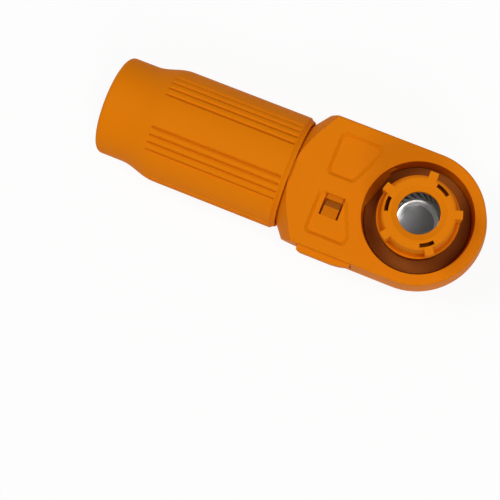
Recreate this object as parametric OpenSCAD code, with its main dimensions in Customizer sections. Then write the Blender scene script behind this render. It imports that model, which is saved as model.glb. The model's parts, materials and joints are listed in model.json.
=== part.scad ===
// Right-angle plug of an energy storage connector pair.
// A round head carries a socket contact in a touch-proof tower; the cable leaves
// sideways through a sealed gland. Origin: mating axis on the back face.
// +Z is the mating direction, the cable leaves along -X, the button is on -Y.

/* [Head] */
// Radius and half width of the mating face
face_r = 20.1; // [19.6:0.1:22]
// How much wider the body is at its parting line than at the face
swell = 1.2; // [0.4:0.1:2]
// Depth from the cable axis to the mating face
face_depth = 15.8; // [15.5:0.1:18]
// Height of the cable axis above the back face
axis_h = 18.4; // [18.3:0.1:20]
// Radius of the round along the edge of the face
edge_r = 0.8; // [0.3:0.1:1.2]
// Distance from the mating axis to where the swelling of the sides ends
swell_end = 30.9; // [30.7:0.1:31.5]

/* [Neck] */
// Distance from the mating axis to the end of the face
neck_s = 40.3; // [40:0.1:46]
// Angle of the turned chamfer behind the face, from the cable axis
chamfer_angle = 51.5; // [45:0.5:58]
// Outer radius of the neck tube
neck_r = 15.2; // [14.6:0.1:15.4]
// Radius of the seal bore in the neck
seal_bore_r = 12.6; // [12:0.1:13]
// Length of the neck tube behind the face
neck_len = 19.7; // [18.5:0.1:22]

/* [Collar groove] */
// Radius of the round opening at the face
hole_r = 16.8; // [16.5:0.1:17]
// Draft of the opening from face to floor
hole_draft = 0.5; // [0.1:0.1:0.6]
// Depth of the groove below the face
groove_depth = 12; // [10.5:0.1:12.2]
// Thickness of the groove floor
floor_t = 1.8; // [1.4:0.1:2]

/* [Tower] */
// Height of the tower front above the face
tower_rise = 17; // [12:0.5:20]
// Radius of the tower at its front
tower_r = 10.65; // [10.4:0.05:11]
// Radius of the tower below its ledge
tower_root_r = 11.9; // [11.6:0.1:12]
// Radius of the ledge ring
ledge_r = 12.3; // [12:0.1:12.5]
// Height of the ledge ring top above the face
ledge_rise = 3.2; // [2:0.1:5]
// Number of ribs on the tower
lug_n = 5; // [3:1:6]
// Width of a rib
lug_w = 2.5; // [2:0.1:3.4]
// Radius over the ribs
lug_r = 12.35; // [11.8:0.05:12.5]
// Number of arc slots in the tower front
slot_n = 3; // [2:1:4]
// Half angle of an arc slot
slot_half = 13; // [8:1:16]
// Depth of an arc slot
slot_t = 6; // [2:0.5:8]

/* [Socket] */
// Radius of the pin that the socket takes
pin_r = 6; // [5.8:0.05:6.1]
// Depth of the bore floor below the face
bore_depth = 19.8; // [19:0.1:20.4]
// Radius of the bore floor
floor_r = 5.4; // [5:0.1:5.7]
// Number of louvre strips in the crown
strip_n = 22; // [16:1:24]
// Length of the crown between its end bands
crown_len = 22; // [16:0.5:22]
// Turn of a louvre strip about the axis from end to end
crown_twist = 24; // [16:1:26]

/* [Crimp barrel] */
// Outer radius of the crimp barrel
barrel_r = 7.2; // [6.6:0.1:7.4]
// Bore radius of the crimp barrel
barrel_bore_r = 5.2; // [4.4:0.1:5.4]
// Length of the crimp barrel
barrel_len = 21; // [18:0.5:22]

/* [Cable gland] */
// Outer diameter of the cable that the gland seals
cable_d = 17; // [15:0.5:18]
// Outer radius of the gland nut
nut_r = 18.17; // [17.6:0.01:18.3]
// Length of the gland nut
nut_len = 61.2; // [58:0.2:66]
// Outer radius of the smooth rear collar
collar_r = 15.8; // [15:0.1:16.4]
// Length of the smooth rear collar
collar_len = 8.6; // [7:0.1:12]
// Length of the flare between collar and grip
flare_len = 11.5; // [10:0.5:14]
// Number of groove groups round the nut
group_n = 6; // [4:1:8]
// Grooves in a group
groove_n = 4; // [2:1:5]
// Angle between neighbouring grooves
groove_pitch = 8; // [6:0.5:9]
// Depth of a groove
groove_t = 0.55; // [0.2:0.05:0.6]

/* [Lock] */
// Travel of the release button
travel = 2; // [1.4:0.1:2.2]
// Thickness of the lock plate
plate_t = 3.4; // [2.8:0.1:3.6]
// Depth of the plate top below the face
plate_top = 3.5; // [3.3:0.1:4]
// Distance of the locking edge from the mating axis
lock_r = 14.7; // [14.2:0.1:15.2]
// Length of the release button along the body
button_len = 16.8; // [15:0.1:17.6]
// Height of the release button
button_h = 11; // [9:0.1:11.5]
// How far the button stands out from the face width
button_out = 2.1; // [1.8:0.1:2.6]

/* [Fits] */
// Gap round the lock plate
slide_gap = 0.12; // [0.08:0.01:0.2]
// Gap round the release button
button_gap = 0.25; // [0.15:0.01:0.3]
// Gap between inner pieces and their seats
seat_gap = 0.1; // [0.05:0.01:0.15]

/* [Hidden] */
$fn = 96;
eps = 0.01;
joint_gap = 0.02;

orange = [0.87, 0.46, 0.07];
dark_orange = [0.8, 0.4, 0.06];
silver = [0.8, 0.8, 0.82];
brass = [0.75, 0.68, 0.5];
steel = [0.62, 0.62, 0.65];
rubber = [0.85, 0.42, 0.08];

// Levels along the mating axis
face_z = axis_h + face_depth;
groove_z = face_z - groove_depth;
chamber_z = groove_z - floor_t;
ledge_z = face_z + ledge_rise;
ledge_t = 1.5;
ledge_bevel = 0.4;
ledge_rim = 0.5;
ledge_dip = 0.5;
front_round = 1.1;
lug_start = 18;
lug_base = ledge_z - ledge_t / 2;
slot_start = 65;
slot_in = 1.9;
slot_w = 1.15;
tower_z = face_z + tower_rise;
mouth_r = pin_r + 0.14;
mouth_z = tower_z - 0.9;
lip_t = 2.9;
lip_z = mouth_z - lip_t;
lead_r = mouth_r + 1.76;
sleeve_r = pin_r + 1.45;
socket_r = sleeve_r + 1;
flange_t = 1.8;
flange_r = tower_root_r + 2.9;
bore_z = face_z - bore_depth;

tower_draft = 0.35;
seal_t = 1.5;
seal_edge = 0.3;

// Inner chamber, back opening and cover
chamber_r = flange_r + 0.3;
cover_t = 2.6;
gasket_t = 0.8;
cover_z = cover_t + gasket_t;
rim_w = 2;
channel_w = 2 * barrel_r + 0.8;
channel_end = 33;
palm_t = 5;
palm_z = bore_z - 2.6 - palm_t;
palm_r = 9.5;
spigot_r = 6;

// Side profile of the body
part_r = face_r + swell;
back_edge_r = 2;

// Crimp barrel places along the cable
barrel_s = hole_r + 3;
barrel_end = barrel_s + barrel_len;
channel_s = barrel_s - 0.6;

// Cable gland stack along the cable
neck_end = neck_s + neck_len;
seat_s = barrel_end + 1.5;
seal_s = seat_s + joint_gap;
washer_t = 1.5;
clamp_spigot = 1.5;
seal_len = neck_end - clamp_spigot - washer_t - seal_s;
cable_hole_r = cable_d / 2 + 0.3;
clamp_flange_t = 2.5;
clamp_len = 16;
thrust_s = neck_end + clamp_flange_t + seat_gap;
shoulder_s = thrust_s + washer_t + seat_gap;
nut_s = neck_s - 0.1;
nut_end = nut_s + nut_len;
grip_end = nut_end - collar_len - flare_len;
rim_r = nut_r - 0.9;
rim_t = 1.5;
nut_bore_r = neck_r + 0.1;
washer_w = 2.7;
throat_r = cable_d / 2 + 0.8;
throat_s = shoulder_s + 17;
throat_len = 8;
ring_wire = 0.55;
ring_seat_r = neck_r + 2 * ring_wire + seat_gap;
ring_w = 2.6;
ring_s = ring_w - ring_wire - 0.3;
group_start = -24;
groove_w = 1.4;
groove_floor = 0.35;
groove_start = nut_s + rim_t + 0.3;
groove_end = grip_end + 2.9;

// Lock mechanism places
plate_z = face_z - plate_top - plate_t;
lock_angle = 162.2;
plate_x0 = -29;
plate_x1 = -14;
plate_end = 9.9;
tooth_y = -3.4;
wall_r = hole_r + 1.4;
button_y = -(face_r + button_out);
button_base = -18.2;
button_x0 = -30.4;
button_x1 = button_x0 + button_len;
button_top = face_z - 2;
spring_r = 1.35;
spring_wire = 0.22;
spring_turns = 6;
spring_end = 17.3;
spring_bore_r = 1.8;
spring_x = [-26, -19];
end_gap = 0.3;

// Recesses in the face
recess_t = 0.9;
recess_wall = 1;
recess_corner = 1.5;
recess_tip = 0.8;
recess_x0 = -30.3;
recess_x1 = -16.8;
recess_y0 = 2.45;
recess_y1 = 16.1;
recess_arc = 21.1;
window_x = [-27.9, -21.85];
window_y = [-9.5, -2.75];
window_gap = [-6.4, -4.3];
window_slot = 0.45;
slit_w = 0.65;
slit_t = 0.9;
ramp_t = 1.8;
tab_sink = 0.6;
short_sink = 0.4;
heel_sink = 0.1;

// Crown of louvre strips, from the lip of the tower down
front_ring_t = 1.2;
rear_ring_t = 1;
front_ring_z = lip_z - seat_gap - front_ring_t;
crown_half = crown_len / 2;
band_len = 1.3;
crown_mid = front_ring_z - 2 * joint_gap - band_len - crown_half;
rear_ring_z = crown_mid - crown_half - band_len - joint_gap - rear_ring_t;
seat_z = rear_ring_z - joint_gap;
cone_t = 3;
pilot_r = pin_r + 0.02;
ring_bore_r = pin_r + 0.3;
band_r = pin_r + 0.95;
band_t = 0.5;
strip_w = 1.2;
strip_t = 0.25;
strip_in = 0.3;
louvre_angle = 22;
strip_out = pin_r + 0.52;
waist_r = strip_out * cos(crown_twist / 2);
strip_side = strip_out * sin(crown_twist / 2);
strip_tilt = atan2(strip_side, crown_half);
strip_half = crown_half / cos(strip_tilt);

// Points of an arc about a centre
function arc(c, r, a0, a1, n = 8) =
    [for (i = [0:n]) c + r * [cos(a0 + (a1 - a0) * i / n), sin(a0 + (a1 - a0) * i / n)]];

// Coordinates in which z runs along the cable and x points at the mating face
module along_cable(s = 0) {
    translate([-s, 0, axis_h]) rotate([0, -90, 0]) children();
}

// Copies turned evenly about the z axis
module ring_of(n, start = 0) {
    for (i = [0:n - 1]) rotate(start + i * 360 / n) children();
}

// Half section of the body, radius across and height up
module half_section(r_face, r_part) {
    draft = atan2(r_part - r_face, face_depth);
    polygon(concat(
        [[0, 0]],
        arc([r_face - back_edge_r, back_edge_r], back_edge_r, -90, 0, 6),
        [[r_part, axis_h]],
        arc([r_face - edge_r, face_z - edge_r], edge_r, draft, 90, 5),
        [[0, face_z]]
    ));
}

// Straight body side of the given length from the mating axis
module side_block(len, r_face, r_part) {
    for (side = [0, 1]) mirror([0, side, 0])
        rotate([90, 0, -90]) linear_extrude(len) half_section(r_face, r_part);
}

// Outside of head and face block, turned down behind the face
module body_block() {
    slope = tan(chamfer_angle);
    reach = part_r + axis_h;
    intersection() {
        union() {
            rotate_extrude($fn = 144) half_section(face_r, part_r);
            side_block(swell_end, face_r, part_r);
            side_block(neck_s + 1, face_r, face_r + 0.1);
        }
        along_cable() rotate_extrude($fn = 144) polygon([
            [0, -part_r - 1],
            [reach, -part_r - 1],
            [reach, neck_s - (reach - face_depth) / slope],
            [neck_r, neck_s + (face_depth - neck_r) / slope],
            [0, neck_s + (face_depth - neck_r) / slope]
        ]);
    }
}

// Outline of a face recess, one side concentric with the opening
module recess_outline(inset = 0) {
    r = recess_corner;
    tip = recess_tip;
    x0 = recess_x0 + inset;
    x1 = recess_x1 - inset;
    y0 = recess_y0 + inset;
    y1 = recess_y1 - inset;
    ra = recess_arc + inset;
    a_low = 180 - asin((y0 + tip) / ra);
    a_high = 180 - asin((y1 - 2 * r - 0.2) / ra);
    polygon(concat(
        arc([x0 + r, y0 + r], r, 270, 180, 5),
        arc([x0 + r, y1 - r], r, 180, 90, 5),
        arc([x1 - r, y1 - r], r, 90, -10, 6),
        arc([0, 0], ra, a_high, a_low, 10),
        arc([-sqrt(ra * ra - y0 * y0) - tip - 0.3, y0 + tip], tip, -20, -90, 4)
    ));
}

// Recess with sloping walls
module recess_cut() {
    hull() {
        translate([0, 0, face_z - recess_t]) linear_extrude(eps) recess_outline(recess_wall);
        translate([0, 0, face_z]) linear_extrude(1) recess_outline();
    }
}

// Back opening: round chamber joined to the barrel channel
module back_outline(grow = 0) {
    circle(r = chamber_r + grow);
    translate([-channel_end - grow, -channel_w / 2 - grow])
        square([channel_end + grow, channel_w + 2 * grow]);
}

// Lock plate seen along the mating axis
module plate_outline() {
    difference() {
        union() {
            translate([plate_x0, button_base]) square([plate_x1 - plate_x0, tooth_y - button_base]);
            translate([plate_x0, tooth_y - eps])
                square([-lock_r / 2 - plate_x0, plate_end - tooth_y + eps]);
        }
        translate([0, -travel]) intersection() {
            circle(r = wall_r + slide_gap);
            translate([-2 * wall_r, -2 * wall_r]) square([4 * wall_r, 2 * wall_r + tooth_y + travel]);
        }
        rotate(lock_angle) translate([0, -3 * wall_r]) square([lock_r, 6 * wall_r]);
    }
}

// Space in which the lock plate slides
module plate_space() {
    g = slide_gap;
    difference() {
        translate([plate_x0 - g, button_base - travel])
            square([plate_x1 - plate_x0 + 2 * g, tooth_y - g - button_base + travel]);
        circle(r = wall_r);
    }
    translate([plate_x0 - g, tooth_y - g])
        square([-lock_r / 2 - plate_x0, plate_end + travel + end_gap - tooth_y + g]);
}

// Openings of the lock: plate slot, button pocket and spring bores
module lock_cuts() {
    g = slide_gap;
    bg = button_gap;
    translate([0, 0, plate_z - g]) linear_extrude(plate_t + 2 * g) plate_space();
    translate([button_x0 - bg, 2 * button_y, button_top - button_h - bg])
        cube([button_len + 2 * bg, button_base + travel + end_gap - 2 * button_y, button_h + 2 * bg]);
    for (x = spring_x) translate([x, spring_end, plate_z + plate_t / 2]) rotate([90, 0, 0])
        cylinder(r = spring_bore_r, h = spring_end - plate_end - travel);
}

// H-shaped cut that frees two sunk tabs, with a ramp that runs down under the short one
module window_cuts() {
    floor_z = face_z - recess_t;
    depth = plate_top + slide_gap - recess_t;
    low = window_y[0];
    high = window_y[1];
    tip = window_gap[1];
    foot = tip - window_slot;
    translate([window_x[0], 0, floor_z]) rotate([90, 0, 90])
        linear_extrude(window_x[1] - window_x[0]) polygon([
            [low, recess_t], [low, -heel_sink], [window_gap[0], -tab_sink], [foot, -ramp_t],
            [foot, -depth], [tip, -depth], [tip, -short_sink], [high, -short_sink],
            [high, recess_t]
        ]);
    for (x = [window_x[0], window_x[1] - slit_w]) {
        translate([x, low, floor_z - depth]) cube([slit_w, tip - low, depth + eps]);
        translate([x, tip - eps, floor_z - slit_t]) cube([slit_w, high - tip + eps, slit_t + eps]);
    }
}

// Moulded body: head, face block and neck tube in one piece
module housing() {
    neck_root = channel_end + 4;
    color(orange) difference() {
        union() {
            body_block();
            along_cable(neck_root) cylinder(r = neck_r, h = neck_end - neck_root);
        }
        translate([0, 0, groove_z]) cylinder(r1 = hole_r - hole_draft, r2 = hole_r, h = groove_depth);
        translate([0, 0, face_z - eps]) cylinder(r = hole_r, h = 1);
        translate([0, 0, chamber_z - eps])
            cylinder(r = tower_root_r + seat_gap, h = floor_t + 2 * eps);
        translate([0, 0, cover_z - eps]) cylinder(r = chamber_r, h = chamber_z - cover_z + eps);
        translate([-channel_end, -channel_w / 2, cover_z - eps])
            cube([channel_end, channel_w, axis_h - cover_z]);
        translate([0, 0, -1]) linear_extrude(cover_z + 1) back_outline(rim_w);
        along_cable(channel_s) cylinder(r = channel_w / 2, h = seat_s - channel_s + eps);
        along_cable(seat_s) cylinder(r = seal_bore_r, h = neck_end - seat_s + 1);
        lock_cuts();
        window_cuts();
        recess_cut();
        mirror([0, 1, 0]) recess_cut();
    }
}

// Plate that closes the back opening, with ribs under the contact and posts under the tower
module back_cover() {
    rib_w = 1.5;
    rib_pitch = 5;
    post_r = 1.6;
    post_angle = 75;
    post_s = flange_r - post_r - 0.2;
    post_h = chamber_z - flange_t - cover_t - seat_gap;
    color(dark_orange) {
        linear_extrude(cover_t) back_outline(rim_w - seat_gap);
        for (i = [-1:1]) translate([-palm_r, i * rib_pitch - rib_w / 2, cover_t - eps])
            cube([2 * palm_r - 2, rib_w, palm_z - cover_t - seat_gap + eps]);
        for (i = [-1:1]) rotate(i * post_angle) translate([post_s, 0, cover_t - eps])
            cylinder(r = post_r, h = post_h + eps);
    }
}

// Flat gasket between cover and housing
module back_cover_gasket() {
    color(rubber) translate([0, 0, cover_t]) linear_extrude(gasket_t) difference() {
        back_outline(rim_w - seat_gap);
        back_outline(2 * seat_gap);
    }
}

// Touch-proof insulating tower round the socket
module contact_shroud() {
    inner_r = socket_r + seat_gap;
    foot_z = chamber_z - flange_t;
    color(orange) difference() {
        union() {
            rotate_extrude() polygon(concat(
                [[mouth_r, foot_z],
                 [flange_r, foot_z],
                 [flange_r, chamber_z],
                 [tower_root_r, chamber_z],
                 [tower_root_r, ledge_z - ledge_t - ledge_bevel],
                 [ledge_r, ledge_z - ledge_t],
                 [ledge_r, ledge_z],
                 [ledge_r - ledge_rim, ledge_z],
                 [tower_r + tower_draft, ledge_z - ledge_dip]],
                arc([tower_r - front_round, tower_z - front_round], front_round, 0, 90, 6),
                [[lead_r, tower_z],
                 [mouth_r, mouth_z]]
            ));
            intersection() {
                ring_of(lug_n, lug_start) translate([tower_r - front_round, -lug_w / 2, lug_base])
                    cube([lug_r, lug_w, tower_z - lug_base]);
                cylinder(r = lug_r, h = tower_z);
            }
        }
        translate([0, 0, foot_z - eps]) cylinder(r = inner_r, h = lip_z - foot_z + eps);
        ring_of(slot_n, slot_start - slot_half) translate([0, 0, tower_z - slot_t])
            rotate_extrude(angle = 2 * slot_half)
                translate([tower_r - slot_in, 0]) square([slot_w, slot_t + eps]);
    }
}

// Flat ring on the groove floor against which the mating collar closes
module collar_seal() {
    r0 = tower_root_r + seat_gap;
    r1 = hole_r - hole_draft - seat_gap;
    base = groove_z + joint_gap;
    top = base + seal_t;
    color(dark_orange) rotate_extrude() polygon(concat(
        [[r0, base], [r1, base]],
        arc([r1 - seal_edge, top - seal_edge], seal_edge, 0, 90, 4),
        arc([r0 + seal_edge, top - seal_edge], seal_edge, 90, 180, 4)
    ));
}

// Turned socket: seat for the crown, pilot bore for the pin and a tapered floor
module socket_contact() {
    top_z = lip_z - seat_gap;
    color(silver) difference() {
        union() {
            translate([0, 0, palm_z + palm_t]) cylinder(r = socket_r, h = top_z - palm_z - palm_t);
            translate([0, 0, palm_z]) cylinder(r = spigot_r, h = palm_t + 1);
        }
        translate([0, 0, bore_z]) cylinder(r1 = floor_r, r2 = pilot_r, h = cone_t);
        translate([0, 0, bore_z + cone_t - eps]) cylinder(r = pilot_r, h = tower_z - bore_z);
        translate([0, 0, seat_z]) cylinder(r = sleeve_r, h = tower_z - seat_z);
    }
}

// Lug with palm, riser and crimp barrel
module crimp_lug() {
    riser_w = 12;
    riser_z = chamber_z - flange_t - 0.8;
    toe = 3;
    color(silver) difference() {
        union() {
            translate([0, 0, palm_z]) cylinder(r = palm_r, h = palm_t);
            translate([0, riser_w / 2, 0]) rotate([90, 0, 0]) linear_extrude(riser_w) polygon([
                [-spigot_r, palm_z],
                [-spigot_r, palm_z + palm_t],
                [-palm_r - toe, palm_z + palm_t],
                [-barrel_s + toe, riser_z],
                [-barrel_s - eps, riser_z],
                [-barrel_s - eps, axis_h - barrel_r + 1],
                [-barrel_s + toe, palm_z]
            ]);
            along_cable(barrel_s) cylinder(r = barrel_r, h = barrel_len);
        }
        translate([0, 0, palm_z - 1]) cylinder(r = spigot_r + joint_gap, h = palm_t + 2);
        along_cable(barrel_s + toe) cylinder(r = barrel_bore_r, h = barrel_len);
    }
}

// Thin tube that carries the crown
module crown_sleeve() {
    z = rear_ring_z + rear_ring_t + joint_gap;
    h = crown_len + 2 * band_len;
    color(brass) translate([0, 0, z]) difference() {
        cylinder(r = sleeve_r - joint_gap, h = h);
        translate([0, 0, -eps]) cylinder(r = band_r + seat_gap, h = h + 2 * eps);
    }
}

// Crown of strips strung at a slant between two bands, each turned on edge like a louvre
module louvre_crown() {
    color(silver) {
        ring_of(strip_n) translate([waist_r, 0, crown_mid]) rotate([-strip_tilt, 0, 0])
            rotate(louvre_angle) translate([-strip_t / 2, -strip_w / 2, -strip_half])
                cube([strip_t, strip_w, 2 * strip_half]);
        for (z = [crown_mid - crown_half - band_len, crown_mid + crown_half - strip_in])
            translate([0, 0, z]) difference() {
                cylinder(r = band_r, h = band_len + strip_in);
                translate([0, 0, -eps]) cylinder(r = band_r - band_t, h = band_len + strip_in + 2 * eps);
            }
    }
}

// Ring that closes the crown below the mouth
module crown_front_ring() {
    color(silver) translate([0, 0, front_ring_z]) difference() {
        cylinder(r = sleeve_r - joint_gap, h = front_ring_t);
        translate([0, 0, -eps]) cylinder(r = mouth_r + seat_gap, h = front_ring_t + 2 * eps);
    }
}

// Ring on which the foot of the crown stands
module crown_rear_ring() {
    color(silver) translate([0, 0, rear_ring_z]) difference() {
        cylinder(r = sleeve_r - joint_gap, h = rear_ring_t);
        translate([0, 0, -eps]) cylinder(r = ring_bore_r, h = rear_ring_t + 2 * eps);
    }
}

// Button on the side of the head
module release_button() {
    rear_r = 0.9;
    front_r = 16.9;
    front_run = 6.5;
    front_turn = asin(front_run / front_r);
    edge = 0.7;
    base_z = button_top - button_h;
    color(orange) intersection() {
        translate([0, 0, base_z]) linear_extrude(button_h) polygon(concat(
            [[button_x0, button_base]],
            arc([button_x0 + rear_r, button_y + rear_r], rear_r, 180, 270, 6),
            arc([button_x1 - front_run, button_y + front_r], front_r, 270, 270 + front_turn, 6),
            [[button_x1, button_base]]
        ));
        translate([button_x1 + 1, 0, 0]) rotate([90, 0, -90]) linear_extrude(button_len + 2)
            polygon(concat(
                [[-button_base - 1, button_top], [-button_base - 1, base_z]],
                arc([-button_y - edge, base_z + edge], edge, -90, 0, 5),
                arc([-button_y - edge, button_top - edge], edge, 0, 90, 5)
            ));
    }
}

// Sliding plate whose slanted edge holds the mating collar, with a lead-in slope above it
module lock_plate() {
    land = 0.8;
    lead_angle = 50;
    color(orange) difference() {
        translate([0, 0, plate_z]) linear_extrude(plate_t) plate_outline();
        rotate(lock_angle) translate([lock_r, -2 * wall_r, plate_z + land])
            rotate([0, -lead_angle, 0]) cube([2 * plate_t, 4 * wall_r, 2 * plate_t]);
    }
}

// One wire helix along z as a swept ring of points
module coil(r, wire, len, turns) {
    sides = 6;
    steps = 14;
    n = turns * steps;
    rise = len - 2 * wire;
    points = [for (i = [0:n]) let (a = 360 * i / steps) for (k = [0:sides - 1])
        let (q = 360 * k / sides, rr = r + wire * cos(q))
        [rr * cos(a), rr * sin(a), wire + rise * i / n + wire * sin(q)]];
    faces = concat(
        [[for (k = [0:sides - 1]) k]],
        [for (i = [0:n - 1]) for (k = [0:sides - 1]) let (m = (k + 1) % sides)
            [i * sides + k, (i + 1) * sides + k, (i + 1) * sides + m, i * sides + m]],
        [[for (k = [0:sides - 1]) n * sides + sides - 1 - k]]
    );
    polyhedron(points, faces, convexity = 6);
}

// Compression spring between lock plate and housing
module button_spring(x) {
    color(steel) translate([x, spring_end, plate_z + plate_t / 2]) rotate([90, 0, 0])
        coil(spring_r, spring_wire, spring_end - plate_end - joint_gap, spring_turns);
}

module button_spring_rear() {
    button_spring(spring_x[0]);
}

module button_spring_front() {
    button_spring(spring_x[1]);
}

// Ribbed rubber sleeve that seals on the cable
module cable_seal() {
    rib_n = 4;
    rib = seal_len / rib_n;
    r0 = cable_d / 2;
    r1 = seal_bore_r - seat_gap / 2;
    r_root = r1 - 0.8;
    color(rubber) along_cable(seal_s) rotate_extrude() polygon(concat(
        [[r0, 0]],
        [for (i = [0:rib_n - 1]) each [[r_root, i * rib], [r1, (i + 0.3) * rib],
            [r1, (i + 0.6) * rib], [r_root, (i + 0.9) * rib]]],
        [[r_root, seal_len], [r0, seal_len]]
    ));
}

// Flat washer with inner and outer radius, standing across the cable
module flat_washer(s, r0, r1, t) {
    along_cable(s) difference() {
        cylinder(r = r1, h = t);
        translate([0, 0, -1]) cylinder(r = r0, h = t + 2);
    }
}

// Washer between rubber seal and clamp
module seal_washer() {
    color(steel) flat_washer(seal_s + seal_len + joint_gap, cable_hole_r,
                             seal_bore_r - seat_gap, washer_t - 2 * joint_gap);
}

// Clamp with spring fingers that grip the cable jacket
module seal_clamp() {
    fingers = 12;
    finger_gap = 1.2;
    tip_t = 0.8;
    r0 = cable_hole_r;
    r_spigot = seal_bore_r - seat_gap;
    r_flange = neck_r - 0.5;
    root = neck_end - clamp_spigot;
    flange = neck_end + joint_gap;
    flange_end = neck_end + clamp_flange_t;
    tip = neck_end + clamp_len;
    finger_r = nut_bore_r - washer_w - 0.5;
    color(dark_orange) along_cable() difference() {
        rotate_extrude() polygon([
            [r0, root], [r_spigot, root], [r_spigot, flange], [r_flange, flange],
            [r_flange, flange_end], [finger_r, flange_end], [r0 + 2 * tip_t, tip - 2 * tip_t],
            [r0 + tip_t, tip], [r0, tip]
        ]);
        ring_of(fingers) translate([0, -finger_gap / 2, flange_end + 1])
            cube([neck_r, finger_gap, clamp_len]);
    }
}

// Washer that lets the nut turn against the clamp
module thrust_washer() {
    color(steel) flat_washer(thrust_s, nut_bore_r - washer_w, nut_bore_r - 3 * joint_gap, washer_t);
}

// Grip sleeve with groups of grooves, flare and rear collar
module gland_nut() {
    end_r = 1.6;
    end_flare = 3.4;
    rim_step = 0.35;
    r_inner = nut_bore_r - washer_w;
    flare = [for (i = [0:10]) let (t = i / 10)
        [nut_r + (collar_r - nut_r) * (1 - cos(180 * t)) / 2, grip_end + flare_len * t]];
    color(orange) along_cable() difference() {
        rotate_extrude() polygon(concat(
            [[ring_seat_r, nut_s], [rim_r, nut_s], [rim_r + rim_step, nut_s + 0.6 * rim_t],
             [nut_r, nut_s + rim_t]],
            flare,
            arc([collar_r - end_r, nut_end - end_r], end_r, 0, 90, 6),
            [[throat_r + end_flare, nut_end], [throat_r, throat_s + throat_len],
             [throat_r, throat_s], [r_inner, shoulder_s + 1], [r_inner, shoulder_s],
             [nut_bore_r, shoulder_s], [nut_bore_r, nut_s + ring_w], [ring_seat_r, nut_s + ring_w]]
        ));
        for (g = [0:group_n - 1]) for (i = [0:groove_n - 1])
            rotate(group_start + g * 360 / group_n + (i - (groove_n - 1) / 2) * groove_pitch)
                translate([nut_r, 0, groove_start]) linear_extrude(groove_end - groove_start)
                    polygon([
                        [-groove_t, -groove_floor / 2],
                        [groove_t, groove_floor / 2 - groove_w],
                        [groove_t, groove_w - groove_floor / 2],
                        [-groove_t, groove_floor / 2]
                    ]);
    }
}

// Ring seal between neck and nut
module neck_seal() {
    color(rubber) along_cable(nut_s + ring_s) rotate_extrude()
        translate([neck_r + ring_wire + joint_gap, 0]) circle(r = ring_wire, $fn = 24);
}

housing();
back_cover();
back_cover_gasket();
contact_shroud();
collar_seal();
socket_contact();
crimp_lug();
crown_sleeve();
louvre_crown();
crown_front_ring();
crown_rear_ring();
release_button();
lock_plate();
button_spring_rear();
button_spring_front();
cable_seal();
seal_washer();
seal_clamp();
thrust_washer();
gland_nut();
neck_seal();
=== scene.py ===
import json
import math

import bmesh
import bpy
from mathutils import Matrix, Vector

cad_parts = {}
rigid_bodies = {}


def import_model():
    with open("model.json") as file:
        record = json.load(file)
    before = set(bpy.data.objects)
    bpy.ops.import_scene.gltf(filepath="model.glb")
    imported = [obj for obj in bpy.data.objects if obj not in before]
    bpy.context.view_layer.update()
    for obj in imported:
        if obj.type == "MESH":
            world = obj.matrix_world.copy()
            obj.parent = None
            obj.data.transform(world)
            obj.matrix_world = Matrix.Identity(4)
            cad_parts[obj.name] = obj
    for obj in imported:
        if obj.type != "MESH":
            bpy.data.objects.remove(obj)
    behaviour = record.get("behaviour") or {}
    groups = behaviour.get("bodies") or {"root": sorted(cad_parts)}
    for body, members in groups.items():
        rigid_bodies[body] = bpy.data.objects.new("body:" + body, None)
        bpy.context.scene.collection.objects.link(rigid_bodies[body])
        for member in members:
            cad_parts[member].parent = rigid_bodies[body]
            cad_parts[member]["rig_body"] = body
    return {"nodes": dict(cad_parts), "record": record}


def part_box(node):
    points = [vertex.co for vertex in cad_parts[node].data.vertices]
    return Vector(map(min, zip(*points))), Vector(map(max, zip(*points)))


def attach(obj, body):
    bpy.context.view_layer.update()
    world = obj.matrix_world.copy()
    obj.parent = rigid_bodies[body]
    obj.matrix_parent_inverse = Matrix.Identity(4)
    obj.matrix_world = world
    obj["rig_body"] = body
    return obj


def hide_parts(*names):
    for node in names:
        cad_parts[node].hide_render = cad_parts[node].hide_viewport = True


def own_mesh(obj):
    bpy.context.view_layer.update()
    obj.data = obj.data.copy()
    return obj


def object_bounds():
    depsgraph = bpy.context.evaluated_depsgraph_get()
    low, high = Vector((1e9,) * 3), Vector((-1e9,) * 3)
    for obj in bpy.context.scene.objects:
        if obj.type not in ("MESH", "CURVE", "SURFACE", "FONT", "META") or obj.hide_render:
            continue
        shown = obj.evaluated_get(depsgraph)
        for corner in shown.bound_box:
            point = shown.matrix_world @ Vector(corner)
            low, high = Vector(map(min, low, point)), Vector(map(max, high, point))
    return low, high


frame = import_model()
cad_low, cad_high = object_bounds()

MM = 0.001

# Sizes and places in millimetres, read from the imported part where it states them
MOUNTS = {mount["name"]: mount for mount in frame["record"]["mounts"]}
FACE_Z = MOUNTS["collar_groove"]["pos_m"][2] / MM
TOWER_Z = cad_high.z / MM
CABLE_Z = MOUNTS["cable_entry"]["pos_m"][2] / MM
# Socket: the guide for its pin, and its blind bore from the face down
GUIDE_R = MOUNTS["contact_bore"]["dims"]["r_mm"]
BORE_DEPTH = 19.8
# Louvre crown: strips between two bands
CROWN_LOW, CROWN_HIGH = (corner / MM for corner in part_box("louvre_crown"))
STRIP_COUNT = 22
BAND_LEN = 1.3
BAND_R = CROWN_HIGH.x
CROWN_MID = (CROWN_LOW.z + CROWN_HIGH.z) / 2
CROWN_HALF = (CROWN_HIGH.z - CROWN_LOW.z) / 2 - BAND_LEN
# Window in the face: its sides, its depth, and its ramp between the two sunk tabs
WINDOW_X = (-27.9, -21.85)
WINDOW_Y = (-9.5, -2.75)
WINDOW_DEPTH = 4
RAMP_Y = (-6.4, -4.75)
# Arc slots in the tower's front
SLOT_R = (8.75, 9.9)
SLOT_DEPTH = 6
# Grooves of the grip
GROOVE_DEPTH = 0.55
GROOVE_FLOOR_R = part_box("gland_nut")[1].y / MM - GROOVE_DEPTH
# An edge that turns by more than this, in degrees, is a sharp one
SHARP = 24


# Materials

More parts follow.
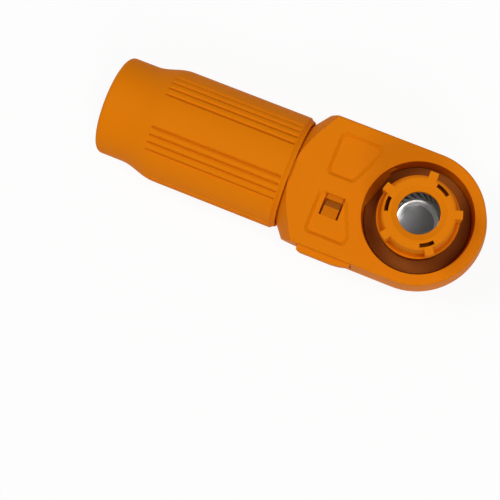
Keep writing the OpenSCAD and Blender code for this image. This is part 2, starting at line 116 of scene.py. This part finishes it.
def srgb(hex_colour):
    """Linear RGBA of an sRGB hex colour."""
    def channel(text):
        value = int(text, 16) / 255
        return value / 12.92 if value <= 0.04045 else ((value + 0.055) / 1.055) ** 2.4
    return tuple(channel(hex_colour[i:i + 2]) for i in (1, 3, 5)) + (1.0,)


def add(tree, kind, inputs=None, **settings):
    """Adds a node, sets its properties, and gives each named input its value or link."""
    node = tree.nodes.new(kind)
    for name, value in settings.items():
        setattr(node, name, value)
    for name, value in (inputs or {}).items():
        if isinstance(value, bpy.types.NodeSocket):
            tree.links.new(value, node.inputs[name])
        else:
            node.inputs[name].default_value = value
    return node


def per_mm(size):
    """Texture scale at which a pattern repeats about every size millimetres."""
    return 1 / (size * MM)


# A wave texture of scale 1 draws a band every tau / 20
WAVE_PER_BAND = math.tau / 20


def start_material(name):
    """An empty material with its output, and the object coordinates that its patterns use."""
    material = bpy.data.materials.new(name)
    material.use_nodes = True
    tree = material.node_tree
    tree.nodes.clear()
    output = add(tree, "ShaderNodeOutputMaterial")
    coords = add(tree, "ShaderNodeTexCoord").outputs["Object"]
    return material, tree, output, coords


def moulded_nylon(name, light, deep, roughness=0.56):
    """Glass-filled nylon from a spark-eroded mould: satin, with faint flow clouds."""
    material, tree, output, coords = start_material(name)
    clouds = add(tree, "ShaderNodeTexNoise", {
        "Vector": coords, "Scale": per_mm(14), "Detail": 3.0, "Roughness": 0.55})
    colour = add(tree, "ShaderNodeMix", {
        "Factor": clouds.outputs["Fac"], "A": srgb(deep), "B": srgb(light)}, data_type="RGBA")
    # The real grain is about 0.05 mm, drawn at 0.35 mm so that it shows
    grain = add(tree, "ShaderNodeTexNoise", {
        "Vector": coords, "Scale": per_mm(0.35), "Detail": 2.0, "Roughness": 0.6})
    gloss = add(tree, "ShaderNodeMapRange", {
        "Value": clouds.outputs["Fac"], "To Min": roughness - 0.04, "To Max": roughness + 0.04})
    bump = add(tree, "ShaderNodeBump", {
        "Height": grain.outputs["Fac"], "Strength": 0.12, "Distance": 0.03 * MM})
    shader = add(tree, "ShaderNodeBsdfPrincipled", {
        "Base Color": colour.outputs["Result"], "Roughness": gloss.outputs["Result"],
        "Normal": bump.outputs["Normal"], "IOR": 1.5, "Specular IOR Level": 0.02})
    tree.links.new(shader.outputs["BSDF"], output.inputs["Surface"])
    return material


def silicone_rubber(name, hex_colour):
    """Moulded silicone: matt, slightly waxy, with a dusty bloom."""
    material, tree, output, coords = start_material(name)
    bloom = add(tree, "ShaderNodeTexNoise", {
        "Vector": coords, "Scale": per_mm(2.5), "Detail": 4.0})
    tint = add(tree, "ShaderNodeMapRange", {
        "Value": bloom.outputs["Fac"], "To Min": 0.9, "To Max": 1.08})
    colour = add(tree, "ShaderNodeHueSaturation", {
        "Color": srgb(hex_colour), "Value": tint.outputs["Result"]})
    bump = add(tree, "ShaderNodeBump", {
        "Height": bloom.outputs["Fac"], "Strength": 0.2, "Distance": 0.05 * MM})
    shader = add(tree, "ShaderNodeBsdfPrincipled", {
        "Base Color": colour.outputs["Color"], "Roughness": 0.7,
        "Normal": bump.outputs["Normal"], "IOR": 1.42, "Specular IOR Level": 0.1})
    tree.links.new(shader.outputs["BSDF"], output.inputs["Surface"])
    return material


def turned_silver(name, light, deep, roughness):
    """Silver plating over a turned metal: bright, with fine rings from the lathe tool."""
    material, tree, output, coords = start_material(name)
    # Tool feed of 0.1 mm, drawn at 0.4 mm so that it shows
    rings = add(tree, "ShaderNodeTexWave", {
        "Vector": coords, "Scale": per_mm(0.4) * WAVE_PER_BAND, "Distortion": 0.4,
        "Detail": 1.0}, bands_direction="Z")
    tarnish = add(tree, "ShaderNodeTexNoise", {
        "Vector": coords, "Scale": per_mm(3), "Detail": 3.0})
    gloss = add(tree, "ShaderNodeMapRange", {
        "Value": tarnish.outputs["Fac"], "To Min": roughness - 0.06, "To Max": roughness + 0.06})
    colour = add(tree, "ShaderNodeMix", {
        "Factor": tarnish.outputs["Fac"], "A": srgb(light), "B": srgb(deep)},
        data_type="RGBA")
    bump = add(tree, "ShaderNodeBump", {
        "Height": rings.outputs["Fac"], "Strength": 0.15, "Distance": 0.01 * MM})
    shader = add(tree, "ShaderNodeBsdfPrincipled", {
        "Base Color": colour.outputs["Result"], "Metallic": 1.0,
        "Roughness": gloss.outputs["Result"], "Normal": bump.outputs["Normal"]})
    tree.links.new(shader.outputs["BSDF"], output.inputs["Surface"])
    return material


def frosted_silver(name, hex_colour, floor_colour, floor_z):
    """Matt silver deposit in a blind bore, with painted shade: dark grey on the bore's floor."""
    material, tree, output, coords = start_material(name)
    height = add(tree, "ShaderNodeSeparateXYZ", {"Vector": coords}).outputs["Z"]
    # The painted shade on the floor ends in the corner where the wall begins
    dark_to, bright_from = floor_z + 0.03, floor_z + 0.1
    cover = add(tree, "ShaderNodeMapRange", {
        "Value": height, "From Min": dark_to * MM, "From Max": bright_from * MM})
    frost = add(tree, "ShaderNodeTexNoise", {
        "Vector": coords, "Scale": per_mm(1.2), "Detail": 3.0})
    tint = add(tree, "ShaderNodeMapRange", {
        "Value": frost.outputs["Fac"], "To Min": 0.92, "To Max": 1.04})
    colour = add(tree, "ShaderNodeMix", {
        "Factor": cover.outputs["Result"], "A": srgb(floor_colour), "B": srgb(hex_colour)},
        data_type="RGBA")
    clouded = add(tree, "ShaderNodeHueSaturation", {
        "Color": colour.outputs["Result"], "Value": tint.outputs["Result"]})
    shader = add(tree, "ShaderNodeBsdfPrincipled", {
        "Base Color": clouded.outputs["Color"], "Metallic": 0.15, "Roughness": 0.6})
    tree.links.new(shader.outputs["BSDF"], output.inputs["Surface"])
    return material


def rolled_stainless(name):
    """Stainless strip and wire as drawn or punched: grey, with fine rolling lines."""
    material, tree, output, coords = start_material(name)
    # Rolled along y, so the lines are drawn out 20 times that way
    stretched = add(tree, "ShaderNodeMapping", {"Vector": coords, "Scale": (1.0, 0.05, 1.0)})
    lines = add(tree, "ShaderNodeTexNoise", {
        "Vector": stretched.outputs["Vector"], "Scale": per_mm(0.2), "Detail": 2.0})
    gloss = add(tree, "ShaderNodeMapRange", {
        "Value": lines.outputs["Fac"], "To Min": 0.25, "To Max": 0.42})
    shader = add(tree, "ShaderNodeBsdfPrincipled", {
        "Base Color": srgb("#a3a4a8"), "Metallic": 1.0, "Roughness": gloss.outputs["Result"]})
    tree.links.new(shader.outputs["BSDF"], output.inputs["Surface"])
    return material


BODY = moulded_nylon("moulded_nylon", "#e17c08", "#dd7806")
TOWER = moulded_nylon("moulded_nylon_tower", "#e27d0a", "#dd7907")
# Also put on the window's sunk tabs in the housing as painted shade
INNER = moulded_nylon("moulded_nylon_inner", "#d07008", "#c86a06", roughness=0.55)
# Painted shade: the lock plate, of the same moving nylon as the button, is made darker for the
# shade it sits in under the face
PLATE = moulded_nylon("moulded_nylon_lock_plate", "#bd6a0e", "#b4620a")
# Painted shade: darker nylon on the window's ramp under the bar, where shade falls
RAMP = moulded_nylon("painted_shade_nylon_ramp", "#a8621c", "#9e5a18")
# Painted shade: darker nylon on the floors of the grip's grooves and in the tower's slots, where
# shade falls
GROOVE = moulded_nylon("painted_shade_nylon_grooves", "#c66506", "#be6105", roughness=0.7)
RUBBER = silicone_rubber("silicone_rubber", "#96521a")
SILVER = turned_silver("silver_plated_copper", "#e4e2e0", "#b9b9bb", roughness=0.3)
SPRING_SILVER = turned_silver("silver_plated_bronze", "#c0beba", "#acaaa6", roughness=0.4)
# Painted shade: near-black plating on the sleeve behind the strips, for the shade in the narrow
# gap
SLEEVE = turned_silver("painted_shade_bronze", "#1e1c1b", "#151413", roughness=0.5)
# Painted shade: the bore's floor takes the dark grey
BORE_SILVER = frosted_silver("frosted_silver", "#f4f2f0", "#9e9ea0",
                             floor_z=FACE_Z - BORE_DEPTH)
STEEL = rolled_stainless("stainless_steel")

FINISH_OF_SLOT = {
    "body_plastic": BODY,
    "moving_plastic": BODY,
    "grip_plastic": BODY,
    "inner_plastic": INNER,
    "seal_rubber": RUBBER,
    "plated_copper": SILVER,
    "plated_bronze": SPRING_SILVER,
    "spring_steel": STEEL,
}
# Pieces that look other than their slot's finish
FINISH_OF_NODE = {
    "contact_shroud": TOWER,
    "lock_plate": PLATE,
    "socket_contact": BORE_SILVER,
    "crown_sleeve": SLEEVE,
}

SLOT_OF_NODE = {entry["node"]: entry["material_slot"] for entry in frame["record"]["subparts"]}
for node_name, slot_name in SLOT_OF_NODE.items():
    solid = frame["nodes"][node_name]
    solid.data.materials.clear()
    solid.data.materials.append(FINISH_OF_NODE.get(node_name, FINISH_OF_SLOT[slot_name]))


# Pieces

def mesh_object(bm, name, material):
    """Puts a bmesh in metres into the scene as an object of one material."""
    mesh = bpy.data.meshes.new(name)
    bm.to_mesh(mesh)
    bm.free()
    mesh.materials.append(material)
    piece = bpy.data.objects.new(name, mesh)
    bpy.context.scene.collection.objects.link(piece)
    return piece


def finish_piece(bm, name, material, body, marked=False):
    """Makes a bmesh a smooth piece that rides on a body, crisp as marked or over 40 degrees."""
    for face in bm.faces:
        face.smooth = True
    piece = mesh_object(bm, name, material)
    if not marked:
        piece.data.set_sharp_from_angle(angle=math.radians(40))
    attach(piece, body)
    return piece


def to_metres(bm):
    """Brings a bmesh drawn in millimetres to metres, with its faces outwards."""
    bmesh.ops.scale(bm, vec=(MM, MM, MM), verts=bm.verts)
    bmesh.ops.recalc_face_normals(bm, faces=bm.faces)


def merged_copy(solid):
    """A node's triangles in one skin, with each flat stretch as one face."""
    bm = bmesh.new()
    bm.from_mesh(solid.data)
    # In millimetres and in degrees
    weld, flat = 0.002, 0.6
    bmesh.ops.remove_doubles(bm, verts=bm.verts, dist=weld * MM)
    bmesh.ops.dissolve_limit(bm, angle_limit=math.radians(flat), verts=bm.verts,
                             edges=bm.edges)
    return bm


def moulding(node_name, name, most_round=None):
    """A moulded piece with crisp edges, or with small rounds on them.

    most_round is their size in mm, or less where the shortest edges leave less room.
    """
    solid = frame["nodes"][node_name]
    bm = merged_copy(solid)
    sharp = [e for e in bm.edges
             if e.is_manifold and e.calc_face_angle() > math.radians(SHARP)]
    if most_round:
        bmesh.ops.bevel(bm, geom=sharp, offset=most_round * MM, offset_type="OFFSET",
                        affect="EDGES", segments=3, profile=0.5, material=-1,
                        clamp_overlap=True)
    else:
        # Marked here, because marks that are set by angle leave some of them out
        for edge in sharp:
            edge.smooth = False
    piece = finish_piece(bm, name, solid.data.materials[0], solid["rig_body"],
                         marked=not most_round)
    shading = piece.modifiers.new("flat_faces_stay_flat", "WEIGHTED_NORMAL")
    shading.keep_sharp = True
    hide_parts(node_name)
    return piece


def refinish(piece, finish, chosen):
    """Gives another finish to the faces that chosen picks by centre, in mm, and normal."""
    piece.data.materials.append(finish)
    for face in piece.data.polygons:
        if chosen(face.center / MM, face.normal):
            face.material_index = len(piece.data.materials) - 1


def between(value, limits, margin=0):
    """Whether a value lies between two limits, give or take a margin."""
    return limits[0] - margin < value < limits[1] + margin


def in_window(centre, normal):
    """Faces in the window that look up, but not its steep walls."""
    steepest = 0.3
    return (between(centre.x, WINDOW_X) and between(centre.y, WINDOW_Y)
            and centre.z > FACE_Z - WINDOW_DEPTH and normal.z > steepest)


def on_ramp(centre, normal):
    """The window's ramp."""
    return in_window(centre, normal) and between(centre.y, RAMP_Y)


def in_slot(centre, normal):
    """Walls and floors of the arc slots, but not the front around them."""
    margin, front = 0.05, 0.4
    depth = TOWER_Z - centre.z
    return (between(math.hypot(centre.x, centre.y), SLOT_R, margin)
            and front < depth < SLOT_DEPTH + margin)


def on_groove_floor(centre, normal):
    """Floors of the grip's grooves, which run straight along the cable."""
    sag, straight = 0.12, 0.02
    radius = math.hypot(centre.y, centre.z - CABLE_Z)
    return abs(radius - GROOVE_FLOOR_R) < sag and abs(normal.x) < straight


def lathe(bm, outline, steps):
    """Spins a closed outline of (radius, height) corners about the z axis."""
    corners = [bm.verts.new((r, 0, z)) for r, z in outline]
    edges = [bm.edges.new((a, b)) for a, b in zip(corners, corners[1:] + corners[:1])]
    bmesh.ops.spin(bm, geom=corners + edges, cent=(0, 0, 0), axis=(0, 0, 1), dvec=(0, 0, 0),
                   angle=math.tau, steps=steps, use_merge=True)


def louvre_strip(bm, width, thickness, slant, twist, steps):
    """One strip strung at a slant between the bands and turned on edge, less at its ends."""
    at_ends = 0.7
    turned = [twist * min(1, at_ends + i / steps, at_ends + 1 - i / steps)
              for i in range(steps + 1)]
    outer_r = BAND_R - thickness
    tilt = math.atan2(outer_r * math.sin(slant / 2), CROWN_HALF)
    half = CROWN_HALF / math.cos(tilt)
    start = bmesh.ops.create_grid(bm, x_segments=1, y_segments=1, size=0.5)
    section = start["verts"]
    bmesh.ops.scale(bm, vec=(thickness, width, 1), verts=section)
    bmesh.ops.rotate(bm, cent=(0, 0, 0), matrix=Matrix.Rotation(turned[0], 3, "Z"),
                     verts=section)
    bmesh.ops.translate(bm, vec=(0, 0, -half), verts=section)
    face = section[0].link_faces[0]
    strip = list(section)
    for i in range(steps):
        grown = bmesh.ops.extrude_face_region(bm, geom=[face] + face.edges[:])["geom"]
        ring = [g for g in grown if isinstance(g, bmesh.types.BMVert)]
        face = next(g for g in grown if isinstance(g, bmesh.types.BMFace))
        bmesh.ops.translate(bm, vec=(0, 0, 2 * half / steps), verts=ring)
        turn = Matrix.Rotation(turned[i + 1] - turned[i], 3, "Z")
        bmesh.ops.rotate(bm, cent=(0, 0, 0), matrix=turn, verts=ring)
        strip += ring
    bmesh.ops.rotate(bm, cent=(0, 0, 0), matrix=Matrix.Rotation(-tilt, 3, "X"), verts=strip)
    bmesh.ops.translate(bm, vec=(outer_r * math.cos(slant / 2), 0, CROWN_MID), verts=strip)


def louvre_crown():
    """Strips between two bands, each twisted so that one edge presses on the pin."""
    bm = bmesh.new()
    louvre_strip(bm, width=0.85, thickness=0.2, slant=math.radians(24), twist=math.radians(30),
                 steps=15)
    # The first strip is one of them, so the spin stops one strip short of the full turn
    copies = STRIP_COUNT - 1
    bmesh.ops.spin(bm, geom=bm.verts[:] + bm.edges[:] + bm.faces[:], cent=(0, 0, 0),
                   axis=(0, 0, 1), dvec=(0, 0, 0), angle=math.tau * copies / STRIP_COUNT,
                   steps=copies, use_merge=False, use_duplicate=True)
    # Each band takes the strips' ends in, and slopes up to them
    band_t, strip_in, slope = 0.5, 0.3, 0.7
    for edge, inwards in ((CROWN_LOW.z, 1), (CROWN_HIGH.z, -1)):
        heel = edge + inwards * (BAND_LEN + strip_in)
        lathe(bm, [(BAND_R - band_t, edge), (BAND_R, edge), (BAND_R, heel + inwards * slope),
                   (BAND_R - band_t, heel)], steps=96)
    to_metres(bm)
    piece = finish_piece(bm, "louvre_crown_strips", SPRING_SILVER, "housing")
    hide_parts("louvre_crown")


def button_spring(name, node_name):
    """Wire coil in its node's place, riding on the housing."""
    wire_r, turns = 0.22, 6
    wire_sides, steps = 10, 28 * turns
    low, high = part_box(node_name)
    x, z = (low.x + high.x) / 2 / MM, (low.z + high.z) / 2 / MM
    y0, y1 = low.y / MM, high.y / MM
    radius = (high.x - low.x) / 2 / MM - wire_r
    bm = bmesh.new()
    ring = bmesh.ops.create_circle(bm, segments=wire_sides, radius=wire_r)["verts"]
    bmesh.ops.rotate(bm, cent=(0, 0, 0), matrix=Matrix.Rotation(math.radians(90), 3, "Y"),
                     verts=ring)
    bmesh.ops.translate(bm, vec=(x, y0 + wire_r, z + radius), verts=ring)
    bmesh.ops.spin(bm, geom=bm.verts[:] + bm.edges[:], cent=(x, 0, z), axis=(0, 1, 0),
                   dvec=(0, (y1 - y0 - 2 * wire_r) / steps, 0), angle=math.tau * turns,
                   steps=steps)
    bmesh.ops.holes_fill(bm, edges=[e for e in bm.edges if e.is_boundary], sides=0)
    to_metres(bm)
    piece = finish_piece(bm, name, STEEL, "housing")
    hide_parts(node_name)
    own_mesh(piece)


head = moulding("housing", "housing_moulding")
# Painted shade: the window's sunk tabs take the darker inner nylon
refinish(head, INNER, in_window)
# Painted shade: the ramp under the window's bar takes the darker nylon
refinish(head, RAMP, on_ramp)
# Painted shade in the tower's arc slots
refinish(moulding("contact_shroud", "tower_moulding"), GROOVE, in_slot)
# Painted shade on the floors of the grip's grooves
refinish(moulding("gland_nut", "grip_moulding", 0.12), GROOVE, on_groove_floor)
moulding("release_button", "button_moulding", 0.25)
moulding("lock_plate", "lock_plate_moulding", 0.15)
louvre_crown()
button_spring("spring_coil_rear", "button_spring_rear")
button_spring("spring_coil_front", "button_spring_front")


# Stage

PLUG_MIDDLE = (-0.035, 0, 0.02)


def background_level(tree, seen, unseen):
    """One value for rays of camera, gloss and glass, and another for the light given off."""
    path = add(tree, "ShaderNodeLightPath")
    either = add(tree, "ShaderNodeMath", {
        0: path.outputs["Is Camera Ray"], 1: path.outputs["Is Glossy Ray"]}, operation="MAXIMUM")
    any_ray = add(tree, "ShaderNodeMath", {
        0: either.outputs["Value"], 1: path.outputs["Is Transmission Ray"]}, operation="MAXIMUM")
    return add(tree, "ShaderNodeMapRange", {
        "Value": any_ray.outputs["Value"], "To Min": unseen, "To Max": seen}).outputs["Result"]


def studio_white():
    """White to the camera and in gloss, and dimmer as a light."""
    world = bpy.data.worlds.new("studio_white")
    world.use_nodes = True
    tree = world.node_tree
    tree.nodes.clear()
    sky = add(tree, "ShaderNodeBackground", {
        "Color": srgb("#ffffff"), "Strength": background_level(tree, seen=1.0, unseen=0.25)})
    add(tree, "ShaderNodeOutputWorld", {"Surface": sky.outputs["Background"]})
    bpy.context.scene.world = world


def backdrop_paper():
    """Matt white paper that stays white to the camera and still takes the shadow."""
    material, tree, output, coords = start_material("backdrop_paper")
    fibre = add(tree, "ShaderNodeTexNoise", {
        "Vector": coords, "Scale": per_mm(1.5), "Detail": 2.0})
    bump = add(tree, "ShaderNodeBump", {
        "Height": fibre.outputs["Fac"], "Strength": 0.05, "Distance": 0.02 * MM})
    matt = add(tree, "ShaderNodeBsdfDiffuse", {
        "Color": srgb("#f4f4f4"), "Normal": bump.outputs["Normal"]})
    glow = add(tree, "ShaderNodeEmission", {"Color": srgb("#ffffff"), "Strength": 1.0})
    mixed = add(tree, "ShaderNodeMixShader", {
        0: background_level(tree, seen=0.9, unseen=0.0), 1: matt.outputs["BSDF"],
        2: glow.outputs["Emission"]})
    tree.links.new(mixed.outputs["Shader"], output.inputs["Surface"])
    return material


def paper_floor():
    """A sheet 3 m wide that lies just under the plug."""
    bm = bmesh.new()
    bmesh.ops.create_grid(bm, x_segments=1, y_segments=1, size=1.5)
    floor = mesh_object(bm, "floor", backdrop_paper())
    gap = 0.2 * MM
    floor.location = (-0.03, 0, cad_low.z - gap)


studio_white()
paper_floor()


# Light

def hang(lamp, target, distance, side, lean):
    """Hangs a lamp over a point: side is its direction seen from above, lean is from upright."""
    side, lean = math.radians(side), math.radians(lean)
    away = Vector((math.sin(lean) * math.cos(side), math.sin(lean) * math.sin(side),
                   math.cos(lean)))
    holder = bpy.data.objects.new(lamp.name, lamp)
    holder.location = Vector(target) + away * distance
    holder.rotation_euler = (-away).to_track_quat("-Z", "Y").to_euler()
    bpy.context.scene.collection.objects.link(holder)


def softbox(name, side, lean, watts):
    """Square area lamp hung over the middle of the plug."""
    lamp = bpy.data.lights.new(name, "AREA")
    lamp.size = 0.5
    lamp.energy = watts
    hang(lamp, target=PLUG_MIDDLE, distance=1.5, side=side, lean=lean)


def snoot(name, side, watts):
    """Narrow beam past the near edge of the socket's mouth to the foot of its bore."""
    lamp = bpy.data.lights.new(name, "SPOT")
    lamp.energy = watts
    lamp.spot_size = math.radians(1)
    lamp.spot_blend = 0.3
    lamp.shadow_soft_size = 0.001
    off_axis = 0.36 * GUIDE_R * MM
    target = (off_axis * math.cos(math.radians(side)), off_axis * math.sin(math.radians(side)),
              cad_high.z)
    hang(lamp, target=target, distance=0.43, side=side, lean=17)


softbox("key_softbox", side=0, lean=15, watts=5.4)
softbox("fill_softbox", side=180, lean=25, watts=7.75)
softbox("side_softbox", side=-55, lean=45, watts=5.0)
snoot("bore_snoot", side=0, watts=15)
snoot("bore_snoot_low", side=-60, watts=4.5)


# Camera

# Fitted to the photo's outlines: the camera's own axes, and its place in millimetres
CAMERA_RIGHT = Vector((0.92263, 0.37268, -0.09927))
CAMERA_UP = Vector((-0.36816, 0.92775, 0.06117))
CAMERA_BACK = Vector((0.11489, -0.01989, 0.99318))
CAMERA_PLACE = Vector((4.61, -35.40, 443.22))

lens = bpy.data.cameras.new("camera")
lens.sensor_width = 36
lens.lens = 99.36
lens.clip_start = 0.01
camera = bpy.data.objects.new("camera", lens)
camera.matrix_world = (Matrix.Translation(CAMERA_PLACE * MM)
                       @ Matrix((CAMERA_RIGHT, CAMERA_UP, CAMERA_BACK)).transposed().to_4x4())
bpy.context.scene.collection.objects.link(camera)
bpy.context.scene.camera = camera
bpy.context.scene.view_settings.view_transform = "Standard"
